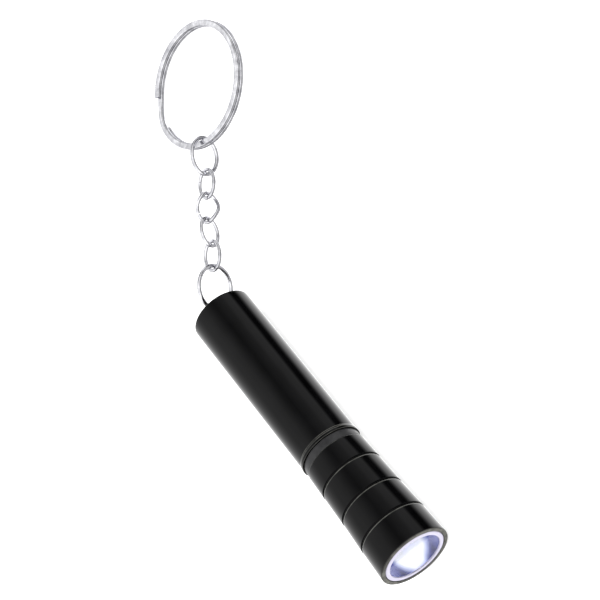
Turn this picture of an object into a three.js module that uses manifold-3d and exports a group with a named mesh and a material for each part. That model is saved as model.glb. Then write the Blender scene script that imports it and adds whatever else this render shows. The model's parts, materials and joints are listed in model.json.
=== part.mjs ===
// Keychain flashlight: a slim one-cell torch on a short wire chain with a split key ring.
// Millimetres, +Z up. The torch lies along +X with its lens forward, and the chain trails from its tail.
import * as THREE from 'three';
import { mergeVertices } from 'three/addons/utils/BufferGeometryUtils.js';
import Module from 'manifold-3d';

const wasm = await Module();
wasm.setup();

// Stations along the torch, measured forward from the tail rim.
const TUBE_END = 41.9;
const NECK_END = 43.9;
const BAND_ENDS = [49.4, 56.6, 63.7];
const FRONT = 70.9;
const SPIGOT_END = 50.5;
const SEAT = 51;

// Radii of the turned metal, at the stations above.
const TUBE_RADIUS = 6.75;
const LIP_RADIUS = 6.85;
const BORE_RADIUS = 5.4;
const SPIGOT_RADIUS = 5.9;
const NECK_RADIUS = 6.55;
const BAND_RADII = [6.9, 7.12, 7.47];
const HEAD_REAR_RADIUS = 6.75;
const HEAD_RADIUS = 7.7;
const THREAD_BORE_RADIUS = 6.18;
const HEAD_BORE_RADIUS = 6.3;
const FRONT_BORE_RADIUS = 6.72;
const FRONT_BORE_START = 69.3;
const EDGE = 0.45;
const GROOVE_WIDTH = 0.5;
const GROOVE_DEPTH = 0.25;
const THREAD_PITCH = 0.75;
const THREAD_RIDGES = 5;
const THREAD_DEPTH = 0.2;

// A standard AAA cell.
const CELL_LENGTH = 44.5;
const CELL_RADIUS = 5.2;
const CELL_FRONT = 50.1;
const NUB_LENGTH = 0.8;
const NUB_RADIUS = 1.9;

// Clearances between neighbouring pieces.
const SLIP = 0.05;
const FIT = 0.1;
const TURNED_SIDES = 32;
const SMALL_SIDES = 24;

// The lamp and what drives it.
const BOARD_THICKNESS = 1;
const BOARD_RADIUS = 6.24;
const LAMP_REAR = 58.3;
const LAMP_RADIUS = 2.5;
const LAMP_LENGTH = 8.6;
const LAMP_FLANGE_RADIUS = 2.9;
const LAMP_FLANGE_THICKNESS = 1;
const LEAD_SPACING = 2.54;
const LEAD_RADIUS = 0.25;
const BOWL_REAR = 59.4;
const BOWL_REAR_RADIUS = 2.7;
const BOWL_FRONT = 70.15;
const BOWL_FRONT_RADIUS = 5.75;
const FLANGE_RADIUS = 6.66;
const FLANGE_THICKNESS = 0.8;
const LENS_THICKNESS = 0.65;

// The tail plug and its eyelet.
const PLUG_REAR = 0.5;
const PLUG_FRONT = 3;
const EYE_X = -1.9;
const EYE_RADIUS = 1.15;
const EYE_PLATE_RADIUS = 2.05;
const EYE_PLATE_THICKNESS = 1.4;

// The chain, from the eyelet outwards. Each member runs from its contact with the last member to its
// contact with the next: heading turns from +X towards +Y, fall is below level, roll turns the
// member about its own length, twist turns its far end past its near end, and cut is where the
// wire's ends meet, from its far end. A member with no halfWidth of its own takes its kind's.
const LINK_WIRE = 0.85;
const RING_WIRE = 0.9;
const WIRE_GAP = 0.12;
const LINK_WIDTH = 5.35;
const CHAIN_START = new THREE.Vector3(-2.5, 0, 0);
const CHAIN = [
  { name: 'tail_jump_ring', wire: RING_WIRE, span: 8.2, heading: 136.5, fall: 0, roll: 90, cut: 60 },
  { name: 'link_a', wire: LINK_WIRE, span: 5.6, heading: 150, fall: 8.8, roll: 0, cut: 200 },
  { name: 'link_b', wire: LINK_WIRE, span: 5.6, heading: 153, fall: 10, roll: 90, cut: 205 },
  { name: 'link_c', wire: LINK_WIRE, span: 5.6, heading: 143, fall: 10.5, roll: 45, twist: 90, cut: 110 },
  { name: 'link_d', wire: LINK_WIRE, span: 5.6, heading: 150.4, fall: 10.5, roll: 0, cut: 70 },
  { name: 'top_jump_ring', wire: RING_WIRE, span: 7.3, halfWidth: 2.95, heading: 144, fall: 5.8, roll: 75,
    cut: 205 },
];
const CUT_GAP = 0.2;

// The split ring: two turns of flat strip, one on the other, crossing over in the step.
const KEY_RING_RADIUS = 14.2;
const STRIP_WIDTH = 1.4;
const STRIP_THICKNESS = 0.88;
const STRIP_GAP = 0.07;
const KEY_RING_HEADING = 143.5;
const KEY_RING_FALL = 4.1;
const KEY_RING_ROLL = -2.8;
const KEY_RING_SLACK = 0.15;
const STEP_START = 84;
const STEP_ANGLE = 35;

function finish(color, roughness, metalness) {
  return new THREE.MeshStandardMaterial({ color, roughness, metalness });
}

const blackMetal = () => finish(0x111112, 0.25, 0.5);
const brightSteel = () => finish(0xc9ccd2, 0.2, 1);
const brass = () => finish(0xc9a24a, 0.35, 1);

function piece(name, geometry, material) {
  const mesh = new THREE.Mesh(geometry, material);
  mesh.name = name;
  return mesh;
}

function solidOf(geometry) {
  const plain = geometry.clone();
  plain.deleteAttribute('normal');
  plain.deleteAttribute('uv');
  const merged = mergeVertices(plain, 1e-3);
  return new wasm.Manifold(new wasm.Mesh({
    numProp: 3,
    vertProperties: new Float32Array(merged.attributes.position.array),
    triVerts: new Uint32Array(merged.index.array),
  }));
}

function geometryOf(solid) {
  const mesh = solid.getMesh();
  const geometry = new THREE.BufferGeometry();
  geometry.setAttribute('position', new THREE.BufferAttribute(mesh.vertProperties, 3));
  geometry.setIndex(new THREE.BufferAttribute(mesh.triVerts, 1));
  geometry.computeVertexNormals();
  return geometry;
}

// Turns an outline of [station, radius] points about the torch's axis.
function turned(outline, sides = TURNED_SIDES) {
  const points = outline.map(([station, radius]) => new THREE.Vector2(radius, station));
  const geometry = new THREE.LatheGeometry(points, sides, Math.PI / sides);
  geometry.rotateZ(-Math.PI / 2);
  return geometry;
}

function disc(rear, front, radius, sides = SMALL_SIDES) {
  return turned([[rear, 0], [rear, radius], [front, radius], [front, 0]], sides);
}

function washer(rear, front, inner, outer, sides = TURNED_SIDES) {
  return turned([[rear, inner], [rear, outer], [front, outer], [front, inner], [rear, inner]], sides);
}

// A quarter round on an outline, from one angle to another in degrees.
function roundEdge(station, radius, size, from, to, steps = 3) {
  return Array.from({ length: steps + 1 }, (_, i) => {
    const angle = THREE.MathUtils.degToRad(from + (to - from) * i / steps);
    return [station + size * Math.cos(angle), radius + size * Math.sin(angle)];
  });
}

function threadRidges() {
  const first = SPIGOT_END - (THREAD_RIDGES + 0.5) * THREAD_PITCH;
  return Array.from({ length: THREAD_RIDGES }, (_, i) => first + i * THREAD_PITCH).flatMap((start) => [
    [start, SPIGOT_RADIUS],
    [start + THREAD_PITCH / 2, SPIGOT_RADIUS + THREAD_DEPTH],
    [start + THREAD_PITCH * 0.9, SPIGOT_RADIUS],
  ]);
}

function barrel() {
  return turned([
    [0, BORE_RADIUS],
    ...roundEdge(EDGE, TUBE_RADIUS - EDGE, EDGE, 180, 90),
    [TUBE_END - 1, TUBE_RADIUS],
    [TUBE_END - 0.6, LIP_RADIUS],
    [TUBE_END, LIP_RADIUS],
    [TUBE_END, SPIGOT_RADIUS],
    ...threadRidges(),
    [SPIGOT_END, SPIGOT_RADIUS],
    [SPIGOT_END, BORE_RADIUS],
    [0, BORE_RADIUS],
  ]);
}

function tailPlug() {
  const plug = solidOf(disc(PLUG_REAR, PLUG_FRONT, BORE_RADIUS - SLIP, TURNED_SIDES));
  const outline = new THREE.Shape();
  outline.moveTo(PLUG_REAR + 1, -EYE_PLATE_RADIUS);
  outline.lineTo(PLUG_REAR + 1, EYE_PLATE_RADIUS);
  outline.lineTo(EYE_X, EYE_PLATE_RADIUS);
  outline.absarc(EYE_X, 0, EYE_PLATE_RADIUS, Math.PI / 2, Math.PI * 1.5);
  const hole = new THREE.Path();
  hole.absarc(EYE_X, 0, EYE_RADIUS, 0, Math.PI * 2, true);
  outline.holes.push(hole);
  const plate = new THREE.ExtrudeGeometry(outline, {
    depth: EYE_PLATE_THICKNESS,
    bevelEnabled: false,
    curveSegments: 10,
  });
  plate.translate(0, 0, -EYE_PLATE_THICKNESS / 2);
  return geometryOf(plug.add(solidOf(plate)));
}

function sealRing() {
  const rear = NECK_END + 0.3;
  return washer(rear, rear + 0.9, SPIGOT_RADIUS + 0.02, THREAD_BORE_RADIUS - SLIP);
}

function neckRing() {
  return washer(TUBE_END + SLIP, NECK_END - SLIP, SPIGOT_RADIUS + FIT, NECK_RADIUS);
}

class SpringCurve extends THREE.Curve {
  constructor(rear, front, rearRadius, frontRadius, turns) {
    super();
    Object.assign(this, { rear, front, rearRadius, frontRadius, turns });
  }

  getPoint(t, target = new THREE.Vector3()) {
    const angle = t * this.turns * Math.PI * 2;
    const radius = THREE.MathUtils.lerp(this.rearRadius, this.frontRadius, t);
    const station = THREE.MathUtils.lerp(this.rear, this.front, t);
    return target.set(station, radius * Math.cos(angle), radius * Math.sin(angle));
  }
}

function wireSection(diameter) {
  return new THREE.Shape().absarc(0, 0, diameter / 2, 0, Math.PI * 2);
}

function bentWire(curve, diameter, steps, curveSegments = 4) {
  return new THREE.ExtrudeGeometry(wireSection(diameter), {
    steps,
    curveSegments,
    bevelEnabled: false,
    extrudePath: curve,
  });
}

function tailSpring() {
  const wire = 0.45;
  const rear = PLUG_FRONT + FIT + wire / 2;
  const front = CELL_FRONT - CELL_LENGTH - FIT - wire / 2;
  return bentWire(new SpringCurve(rear, front, 4.4, 2, 2.75), wire, 44, 3);
}

function cellCan() {
  const rear = CELL_FRONT - CELL_LENGTH;
  const front = CELL_FRONT - NUB_LENGTH;
  return turned([
    [rear, 0],
    [rear, CELL_RADIUS - 0.6],
    [rear + 0.6, CELL_RADIUS],
    [front - 0.5, CELL_RADIUS],
    [front, CELL_RADIUS - 0.5],
    [front, CELL_RADIUS - 1.1],
    [front - 0.4, CELL_RADIUS - 1.1],
    [front - 0.4, 0],
  ], SMALL_SIDES);
}

function cellSeal() {
  const front = CELL_FRONT - NUB_LENGTH;
  return washer(front - 0.35, front - 0.02, NUB_RADIUS + FIT, CELL_RADIUS - 1.2, SMALL_SIDES);
}

function cellNub() {
  return disc(CELL_FRONT - NUB_LENGTH - 0.35, CELL_FRONT, NUB_RADIUS);
}

// The head's outside: four flaring bands with a fine groove between each two.
function headBands() {
  const groove = (station, radius) => [
    [station - GROOVE_WIDTH / 2, radius],
    [station - GROOVE_WIDTH / 4, radius - GROOVE_DEPTH],
    [station + GROOVE_WIDTH / 4, radius - GROOVE_DEPTH],
    [station + GROOVE_WIDTH / 2, radius],
  ];
  return BAND_ENDS.flatMap((station, i) => groove(station, BAND_RADII[i]));
}

function headShell() {
  return turned([
    [NECK_END, THREAD_BORE_RADIUS],
    [NECK_END, HEAD_REAR_RADIUS - 0.15],
    [NECK_END + 0.15, HEAD_REAR_RADIUS],
    ...headBands(),
    ...roundEdge(FRONT - EDGE, HEAD_RADIUS - EDGE, EDGE, 90, 0),
    [FRONT, FRONT_BORE_RADIUS + 0.12],
    [FRONT - 0.12, FRONT_BORE_RADIUS],
    [FRONT_BORE_START, FRONT_BORE_RADIUS],
    [FRONT_BORE_START, HEAD_BORE_RADIUS],
    [SEAT, HEAD_BORE_RADIUS],
    [SEAT, THREAD_BORE_RADIUS],
    [NECK_END, THREAD_BORE_RADIUS],
  ]);
}

function groundRing() {
  return washer(SPIGOT_END + FIT, SEAT, BORE_RADIUS + FIT, THREAD_BORE_RADIUS - SLIP);
}

function plusContact() {
  return disc(CELL_FRONT + FIT, SEAT, NUB_RADIUS - 0.3);
}

function board() {
  const rear = SEAT + SLIP;
  return disc(rear, rear + BOARD_THICKNESS, BOARD_RADIUS, TURNED_SIDES);
}

const boardFront = SEAT + SLIP + BOARD_THICKNESS + SLIP;

function coil() {
  const geometry = new THREE.CylinderGeometry(1.5, 1.5, 3, 16);
  geometry.rotateZ(-Math.PI / 2);
  geometry.translate(boardFront + 1.5, 3.4, 0);
  return geometry;
}

function driverChip() {
  const geometry = new THREE.BoxGeometry(1.1, 1.6, 2.9);
  geometry.translate(boardFront + 0.55, -3.4, 0);
  return geometry;
}

function lampHolder() {
  const front = LAMP_REAR - FIT;
  return turned([
    [boardFront, BOARD_RADIUS - 0.9],
    [boardFront, BOARD_RADIUS],
    [front, BOARD_RADIUS],
    [front, 2],
    [front - 1, 2],
    [front - 1, BOARD_RADIUS - 0.9],
    [boardFront, BOARD_RADIUS - 0.9],
  ]);
}

function lamp() {
  const flangeFront = LAMP_REAR + LAMP_FLANGE_THICKNESS;
  const domeStart = LAMP_REAR + LAMP_LENGTH - LAMP_RADIUS;
  return turned([
    [LAMP_REAR, 0],
    [LAMP_REAR, LAMP_FLANGE_RADIUS],
    [flangeFront, LAMP_FLANGE_RADIUS],
    [flangeFront, LAMP_RADIUS],
    ...roundEdge(domeStart, 0, LAMP_RADIUS, 90, 0, 5).slice(0, -1),
    [domeStart + LAMP_RADIUS, 0],
  ], SMALL_SIDES);
}

function lampLead(side) {
  const length = LAMP_REAR - boardFront - 2 * SLIP;
  const geometry = new THREE.CylinderGeometry(LEAD_RADIUS, LEAD_RADIUS, length, 8);
  geometry.rotateZ(-Math.PI / 2);
  geometry.translate(boardFront + SLIP + length / 2, 0, side * LEAD_SPACING / 2);
  return geometry;
}

// The reflector's bowl is a parabola that opens towards the lens.
function bowlOutline(steps = 7) {
  const growth = (BOWL_FRONT_RADIUS ** 2 - BOWL_REAR_RADIUS ** 2) / (BOWL_FRONT - BOWL_REAR);
  return Array.from({ length: steps + 1 }, (_, i) => {
    const station = THREE.MathUtils.lerp(BOWL_FRONT, BOWL_REAR, (i / steps) ** 1.5);
    return [station, Math.sqrt(BOWL_REAR_RADIUS ** 2 + growth * (station - BOWL_REAR))];
  });
}

function reflector() {
  const rear = LAMP_REAR + SLIP;
  const pocket = LAMP_FLANGE_RADIUS + FIT;
  const pocketFront = LAMP_REAR + LAMP_FLANGE_THICKNESS + SLIP;
  return turned([
    [rear, pocket],
    [rear, 4.2],
    [BOWL_REAR, 4.2],
    [BOWL_FRONT - FLANGE_THICKNESS - 0.1, 6],
    [BOWL_FRONT - FLANGE_THICKNESS, FLANGE_RADIUS],
    [BOWL_FRONT, FLANGE_RADIUS],
    ...bowlOutline(),
    [pocketFront, BOWL_REAR_RADIUS],
    [pocketFront, pocket],
    [rear, pocket],
  ]);
}

function lens() {
  const rear = BOWL_FRONT + SLIP;
  return disc(rear, rear + LENS_THICKNESS, FLANGE_RADIUS, TURNED_SIDES);
}

// A wire link or ring about its own XY plane with its length along X, open by a hair at its cut.
class CutOval extends THREE.Curve {
  constructor(halfLength, halfWidth, twist, cut) {
    super();
    this.halfLength = halfLength;
    this.halfWidth = halfWidth;
    this.twist = THREE.MathUtils.degToRad(twist);
    this.cut = THREE.MathUtils.degToRad(cut);
  }

  getPoint(t, target = new THREE.Vector3()) {
    const gap = CUT_GAP / this.halfWidth;
    const angle = this.cut + gap / 2 + t * (Math.PI * 2 - gap);
    const side = this.halfWidth * Math.sin(angle);
    const turn = this.twist / 2 * Math.cos(angle);
    return target.set(this.halfLength * Math.cos(angle), side * Math.cos(turn), side * Math.sin(turn));
  }
}

// Stands a member at its middle: length along its heading and fall, then rolled about its length.
function placement(start, distance, { heading, fall, roll }) {
  const rotation = new THREE.Euler(
    THREE.MathUtils.degToRad(roll),
    THREE.MathUtils.degToRad(fall),
    THREE.MathUtils.degToRad(heading),
    'ZYX',
  );
  const along = new THREE.Vector3(1, 0, 0).applyEuler(rotation);
  return { rotation, along, middle: start.clone().addScaledVector(along, distance) };
}

function chainMember(member, start) {
  const { rotation, along, middle } = placement(start, member.span / 2, member);
  const halfLength = (member.span + member.wire + WIRE_GAP) / 2;
  const isRing = member.wire === RING_WIRE;
  const halfWidth = member.halfWidth ?? (isRing ? halfLength : (LINK_WIDTH - member.wire) / 2);
  const curve = new CutOval(halfLength, halfWidth, member.twist ?? 0, member.cut);
  const wire = bentWire(curve, member.wire, isRing ? 30 : 24);
  const mesh = piece(member.name, wire, brightSteel());
  mesh.rotation.copy(rotation);
  mesh.position.copy(middle);
  return { mesh, end: start.clone().addScaledVector(along, member.span) };
}

// Two turns of strip: the lower turn rises through the step to become the upper turn.
class SplitCoil extends THREE.Curve {
  getPoint(t, target = new THREE.Vector3()) {
    const turned = t * (720 - STEP_ANGLE);
    const rise = THREE.MathUtils.smoothstep(turned, 360 - STEP_ANGLE, 360) - 0.5;
    const angle = THREE.MathUtils.degToRad(STEP_START + STEP_ANGLE + turned);
    const radius = KEY_RING_RADIUS - STRIP_WIDTH / 2;
    const level = rise * (STRIP_THICKNESS + STRIP_GAP);
    return target.set(radius * Math.cos(angle), radius * Math.sin(angle), level);
  }
}

function stripSection() {
  const x = STRIP_THICKNESS / 2;
  const y = STRIP_WIDTH / 2;
  const corner = 0.25;
  return new THREE.Shape([
    new THREE.Vector2(x, y - corner),
    new THREE.Vector2(x - corner, y),
    new THREE.Vector2(corner - x, y),
    new THREE.Vector2(-x, y - corner),
    new THREE.Vector2(-x, corner - y),
    new THREE.Vector2(corner - x, -y),
    new THREE.Vector2(x - corner, -y),
    new THREE.Vector2(x, corner - y),
  ]);
}

function splitRing(start) {
  const geometry = new THREE.ExtrudeGeometry(stripSection(), {
    steps: 76,
    bevelEnabled: false,
    extrudePath: new SplitCoil(),
  });
  const turn = { heading: KEY_RING_HEADING, fall: KEY_RING_FALL, roll: KEY_RING_ROLL };
  const reach = KEY_RING_RADIUS - STRIP_WIDTH - WIRE_GAP / 2 - KEY_RING_SLACK;
  const { rotation, middle } = placement(start, reach, turn);
  const mesh = piece('split_ring', geometry, brightSteel());
  mesh.rotation.copy(rotation);
  mesh.position.copy(middle);
  return mesh;
}

function chain() {
  const group = new THREE.Group();
  let start = CHAIN_START;
  for (const member of CHAIN) {
    const { mesh, end } = chainMember(member, start);
    group.add(mesh);
    start = end;
  }
  group.add(splitRing(start));
  return group;
}

function torch() {
  const group = new THREE.Group();
  group.add(
    piece('barrel', barrel(), blackMetal()),
    piece('tail_plug', tailPlug(), blackMetal()),
    piece('tail_spring', tailSpring(), brightSteel()),
    piece('seal_ring', sealRing(), finish(0x1a1a1a, 0.8, 0)),
    piece('neck_ring', neckRing(), finish(0x3a3a3b, 0.5, 0.1)),
    piece('cell_can', cellCan(), finish(0x3c5a78, 0.4, 0.3)),
    piece('cell_seal', cellSeal(), finish(0xe6e4dc, 0.6, 0)),
    piece('cell_nub', cellNub(), brightSteel()),
    piece('head_shell', headShell(), blackMetal()),
    piece('ground_ring', groundRing(), brass()),
    piece('plus_contact', plusContact(), brass()),
    piece('board', board(), finish(0x1f6b3a, 0.5, 0)),
    piece('coil', coil(), finish(0x2b2622, 0.7, 0)),
    piece('driver_chip', driverChip(), finish(0x161616, 0.6, 0)),
    piece('lamp_holder', lampHolder(), finish(0xd8d8d4, 0.6, 0)),
    piece('lamp', lamp(), finish(0xf4f6ff, 0.1, 0)),
    piece('lamp_lead_plus', lampLead(1), brightSteel()),
    piece('lamp_lead_minus', lampLead(-1), brightSteel()),
    piece('reflector', reflector(), finish(0xd9dae6, 0.1, 1)),
    piece('lens', lens(), finish(0xeef2f8, 0.05, 0)),
  );
  return group;
}

// The origin is under the middle of the whole object, on the surface that it lies on.
const group = new THREE.Group();
group.add(torch(), chain());
const bounds = new THREE.Box3().setFromObject(group, true);
const middle = bounds.getCenter(new THREE.Vector3());
group.position.set(-middle.x, -middle.y, -bounds.min.z);

export default group;
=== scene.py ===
"""A keychain flashlight: a glossy black one-cell torch on a short bright chain with a split ring.

Metres, in the CAD's frame: +Z up, and the torch lies along +X with its lens forward. Shapes are
written in millimetres about the torch's axis, from its tail rim, or about a chain member's middle.
"""
import json
import math
from collections import namedtuple

import bmesh
import bpy
from mathutils import Matrix, Vector


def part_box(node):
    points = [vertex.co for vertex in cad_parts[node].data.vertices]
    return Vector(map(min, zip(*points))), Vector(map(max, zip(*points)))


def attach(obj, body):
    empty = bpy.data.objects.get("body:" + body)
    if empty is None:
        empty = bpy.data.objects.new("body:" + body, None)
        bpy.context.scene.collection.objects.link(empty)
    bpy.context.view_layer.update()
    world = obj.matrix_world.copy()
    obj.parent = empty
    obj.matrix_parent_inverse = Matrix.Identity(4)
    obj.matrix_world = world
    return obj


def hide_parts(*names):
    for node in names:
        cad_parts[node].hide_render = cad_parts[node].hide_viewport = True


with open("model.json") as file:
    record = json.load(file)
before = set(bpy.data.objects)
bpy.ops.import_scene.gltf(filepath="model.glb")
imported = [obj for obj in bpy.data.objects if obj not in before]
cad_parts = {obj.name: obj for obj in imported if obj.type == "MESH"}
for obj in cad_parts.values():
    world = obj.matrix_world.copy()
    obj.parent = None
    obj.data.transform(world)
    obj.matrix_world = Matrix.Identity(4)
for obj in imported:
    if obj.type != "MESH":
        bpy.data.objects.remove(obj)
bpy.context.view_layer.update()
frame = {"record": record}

MM = 0.001
BODY_OF = {
    node: body
    for body, nodes in frame["record"]["behaviour"]["bodies"].items()
    for node in nodes
}

# The torch's axis, from the barrel's box. Stations are measured forward from the tail rim.
barrel_low, barrel_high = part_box("barrel")
TORCH = Matrix.Translation((
    barrel_low.x,
    (barrel_low.y + barrel_high.y) / 2,
    (barrel_low.z + barrel_high.z) / 2,
))

# Stations along the torch.
TUBE_END = 41.9
NECK_END = 43.9
BAND_ENDS = (49.4, 56.6, 63.7)
FRONT = 70.9
SPIGOT_END = 50.5
SEAT = 51.0

# The turned metal.
TUBE_RADIUS = 6.75
LIP_RADIUS = 6.85
BORE_RADIUS = 5.4
SPIGOT_RADIUS = 5.9
NECK_RADIUS = 6.55
BAND_RADII = (6.9, 7.12, 7.47)
HEAD_REAR_RADIUS = 6.75
HEAD_RADIUS = 7.7
THREAD_BORE_RADIUS = 6.18
HEAD_BORE_RADIUS = 6.3
FRONT_BORE_RADIUS = 6.72
FRONT_BORE_START = 69.3
GROOVE_DEPTH = 0.24
# From its band's end: where a groove starts, its floor starts and ends, and its front lip ends.
GROOVE_PROFILE = (-0.28, -0.2, -0.06, 0.3)
THREAD_PITCH = 0.75
THREAD_DEPTH = 0.2
THREAD_STEP = 0.05
THREAD_FADE = 0.5
PLUG_REAR = 0.5
PLUG_FRONT = 3.0
EYE_X = -1.9
EYE_RADIUS = 1.15
EYE_PLATE_RADIUS = 2.05
EYE_PLATE_THICKNESS = 1.4

# What is inside. SLIP is the gap round a piece that slides, and FIT the gap between stacked pieces.
SLIP = 0.05
FIT = 0.1
SPRING_WIRE = 0.45
SPRING_TURNS = 2.75
SPRING_WIDE, SPRING_NARROW = 4.4, 2.0
CELL_REAR = 5.6
CELL_FRONT = 50.1
CELL_RADIUS = 5.2
NUB_LENGTH = 0.8
NUB_RADIUS = 1.9
BOARD_REAR = 51.05
BOARD_FRONT = 52.05
BOARD_RADIUS = 6.24
COIL_CENTRE = (3.4, 0)
COIL_HEIGHT = 3.0
COIL_RADIUS = 1.5
COIL_WRAPS = 9
CHIP_MIDDLE = -3.4
CHIP_HALF_WIDTH = 0.68
CHIP_LEG_PITCH = 0.95
# A chip leg from the chip's side to its pad: height above the chip's seat, and reach sideways.
CHIP_LEG = ((0.45, 0), (0.44, 0.16), (0.30, 0.26), (0.06, 0.32), (-0.03, 0.42), (-0.03, 0.62))
LAMP_REAR = 58.3
LAMP_RADIUS = 2.5
LAMP_LENGTH = 8.6
LAMP_FLANGE_RADIUS = 2.9
LAMP_FLANGE_THICKNESS = 1.0
LEAD_SPACING = 2.54
LEAD_RADIUS = 0.2
BOWL_REAR = 59.4
BOWL_REAR_RADIUS = 2.7
BOWL_FRONT = 70.15
BOWL_FRONT_RADIUS = 5.75
FLANGE_RADIUS = 6.66
FLANGE_THICKNESS = 0.8
LENS_THICKNESS = 0.65

# The chain, as the CAD lays it. A wire member has its span between contacts, its heading, fall and
# roll, its far end's twist, where its wire's ends meet, and half its width to its wire's middle.
LINK_WIRE = 0.85
RING_WIRE = 0.9
WIRE_GAP = 0.12
CUT_GAP = 0.2
LINK_HALF = 2.25
CHAIN_START = Vector((-2.5, 0, 0))
Member = namedtuple("Member", "name wire span heading fall roll twist cut half_width")
CHAIN = (
    Member("tail_jump_ring", RING_WIRE, 8.2, 136.5, 0, 90, 0, 60, 4.61),
    Member("link_a", LINK_WIRE, 5.6, 150, 8.8, 0, 0, 200, LINK_HALF),
    Member("link_b", LINK_WIRE, 5.6, 153, 10, 90, 0, 205, LINK_HALF),
    Member("link_c", LINK_WIRE, 5.6, 143, 10.5, 45, 90, 110, LINK_HALF),
    Member("link_d", LINK_WIRE, 5.6, 150.4, 10.5, 0, 0, 70, LINK_HALF),
    Member("top_jump_ring", RING_WIRE, 7.3, 144, 5.8, 75, 0, 205, 2.95),
)
KEY_RING_RADIUS = 14.2
STRIP_WIDTH = 1.4
STRIP_THICKNESS = 0.88
STRIP_GAP = 0.07
STRIP_CORNER = 0.28
KEY_RING_TURN = (143.5, 4.1, -2.8)
KEY_RING_SLACK = 0.15
STEP_START = 84
STEP_ANGLE = 35

SIDES = 128
SMALL_SIDES = 96
SHARP_ANGLE = math.radians(38)
# The most of a side that its corner may take, the smallest corner worth rounding, and the cosine
# past which a corner counts as straight.
CORNER_SHARE = 0.45
LEAST_CORNER = 0.004
STRAIGHT = -0.985


# ---------------------------------------------------------------- shapes

def lerp(a, b, t):
    return a + (b - a) * t


def smoothstep(t, a, b):
    t = min(max((t - a) / (b - a), 0), 1)
    return t * t * (3 - 2 * t)


def softened(outline, size=0.12, steps=3):
    """The outline of [station, radius] with its corners rounded, and how far into a corner each
    point is, from 0 to 1. A point's own third value is its corner's size."""
    closed = tuple(outline[0][:2]) == tuple(outline[-1][:2])
    points = outline[:-1] if closed else outline
    count = len(points)
    made = []
    for i, point in enumerate(points):
        here = Vector(point[:2])
        cut = point[2] if len(point) > 2 else size
        if not closed and i in (0, count - 1):
            made.append((here.x, here.y, 0.0))
            continue
        before = Vector(points[i - 1][:2]) - here
        after = Vector(points[(i + 1) % count][:2]) - here
        reach = min(cut, CORNER_SHARE * before.length, CORNER_SHARE * after.length)
        straight = before.normalized().dot(after.normalized()) < STRAIGHT
        if straight or reach < LEAST_CORNER:
            made.append((here.x, here.y, 0.0))
            continue
        start = here + before.normalized() * reach
        end = here + after.normalized() * reach
        for k in range(steps + 1):
            t = k / steps
            p = start * (1 - t) ** 2 + here * 2 * t * (1 - t) + end * t * t
            made.append((p.x, p.y, 4 * t * (1 - t)))
    if closed:
        made.append(made[0])
    return made


def smoothed(mesh):
    """Shades a mesh smooth, except where its faces meet at a clear angle."""
    mesh.shade_smooth()
    mesh.set_sharp_from_angle(angle=SHARP_ANGLE)


def in_scene(name, work, mesh, place):
    """A piece at a place in the CAD's frame, from a finished bmesh."""
    work.to_mesh(mesh)
    work.free()
    smoothed(mesh)
    made = bpy.data.objects.new(name, mesh)
    bpy.context.scene.collection.objects.link(made)
    made.matrix_world = place
    return made


def mesh_piece(name, points, faces, place, edge=None):
    """A smooth piece from points in millimetres about a place in the CAD's frame. edge is each
    point's wear."""
    mesh = bpy.data.meshes.new(name)
    mesh.from_pydata([tuple(c * MM for c in p) for p in points], [], faces)
    if edge is not None:
        mesh.attributes.new("edge", "FLOAT", "POINT").data.foreach_set("value", edge)
    work = bmesh.new()
    work.from_mesh(mesh)
    bmesh.ops.recalc_face_normals(work, faces=work.faces)
    return in_scene(name, work, mesh, place)


def skinned(rings, first=0, loop=False):
    """Points and faces of a skin over rings of equal count. A ring of one point is a tip."""
    points, faces, starts = [], [], []
    for ring in rings:
        starts.append(first + len(points))
        points.extend(ring)
    pairs = list(zip(range(len(rings) - 1), range(1, len(rings))))
    if loop:
        pairs.append((len(rings) - 1, 0))
    for a, b in pairs:
        na, nb = len(rings[a]), len(rings[b])
        for j in range(max(na, nb)):
            k = (j + 1) % max(na, nb)
            pa, qa = starts[a] + (j if na > 1 else 0), starts[a] + (k if na > 1 else 0)
            pb, qb = starts[b] + (j if nb > 1 else 0), starts[b] + (k if nb > 1 else 0)
            faces.append(tuple(dict.fromkeys((pa, qa, qb, pb))))
    return points, faces


def turned(name, outline, place=TORCH, sides=SIDES, bend=None, about=(0, 0)):
    """Turns an outline of [station, radius, wear] about the torch's axis, or about a line beside
    it. bend changes a point's radius by its station and angle."""
    closed = outline[0][:2] == outline[-1][:2]
    rows = outline[:-1] if closed else outline
    rings, edge = [], []
    for station, radius, wear in rows:
        if radius < 1e-6:
            rings.append([(station, *about)])
            edge.append(wear)
            continue
        ring = []
        for j in range(sides):
            angle = 2 * math.pi * j / sides
            r = bend(station, angle, radius) if bend else radius
            ring.append((station, about[0] + r * math.cos(angle), about[1] + r * math.sin(angle)))
            edge.append(wear)
        rings.append(ring)
    points, faces = skinned(rings, loop=closed)
    return mesh_piece(name, points, faces, place, edge)


def circle(radius, sides):
    return [
        (radius * math.cos(2 * math.pi * i / sides), radius * math.sin(2 * math.pi * i / sides))
        for i in range(sides)
    ]


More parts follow.
